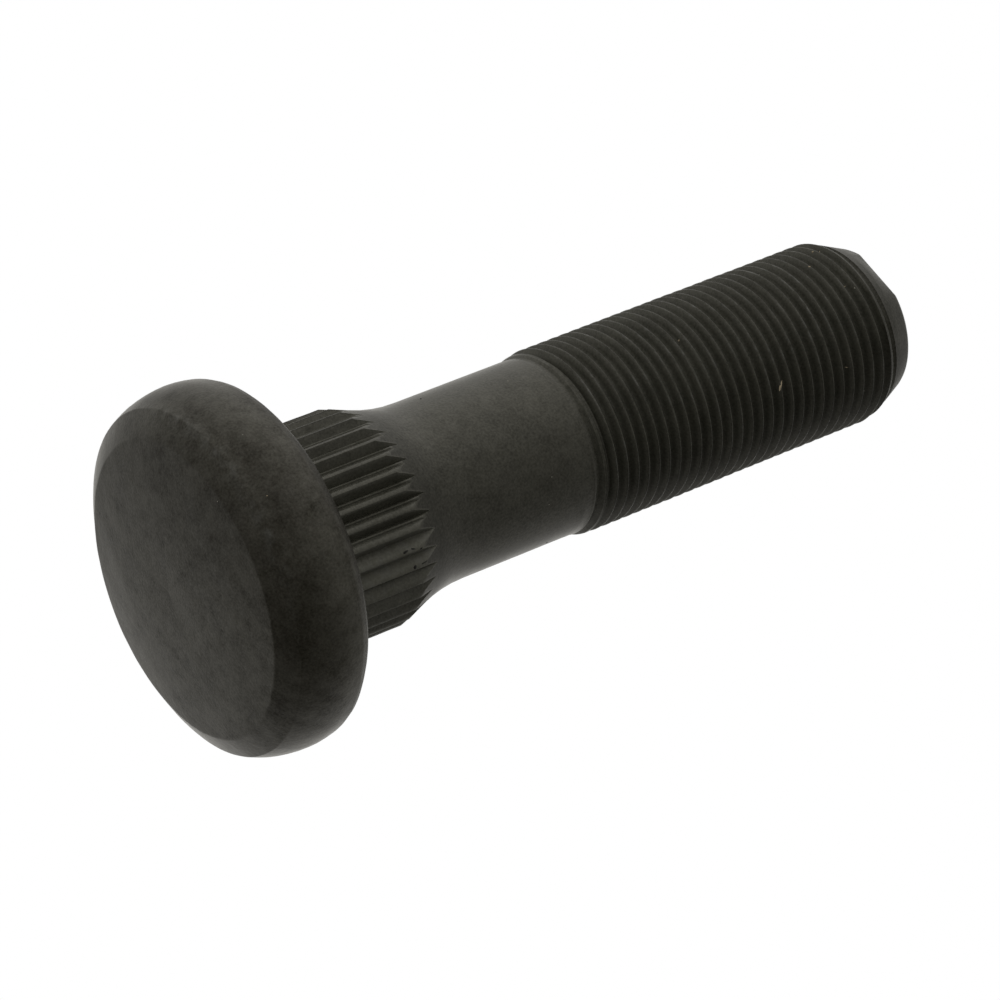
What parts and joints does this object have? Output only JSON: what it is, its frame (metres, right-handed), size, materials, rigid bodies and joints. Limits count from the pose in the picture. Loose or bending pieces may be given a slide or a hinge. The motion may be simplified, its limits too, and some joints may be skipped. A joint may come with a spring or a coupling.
{
  "type": "wheel stud",
  "caption": "Press-in wheel stud for a truck hub: a round head with a crowned face, a serrated collar, a plain shank and a fine right-hand thread with a tapered lead-in.",
  "frame": {"origin": "middle of the crowned head face, on whose small flat the stud stands", "axes": "+Z along the stud's axis, from the head to the threaded tip; -Y to the side that the picture shows"},
  "size_m": [0.0424, 0.0424, 0.0982],
  "materials": {
    "black_steel": "black phosphate and oil on steel, satin"
  },
  "bodies": {
    "root": {"wheel_stud": "black_steel"}
  },
  "joints": []
}
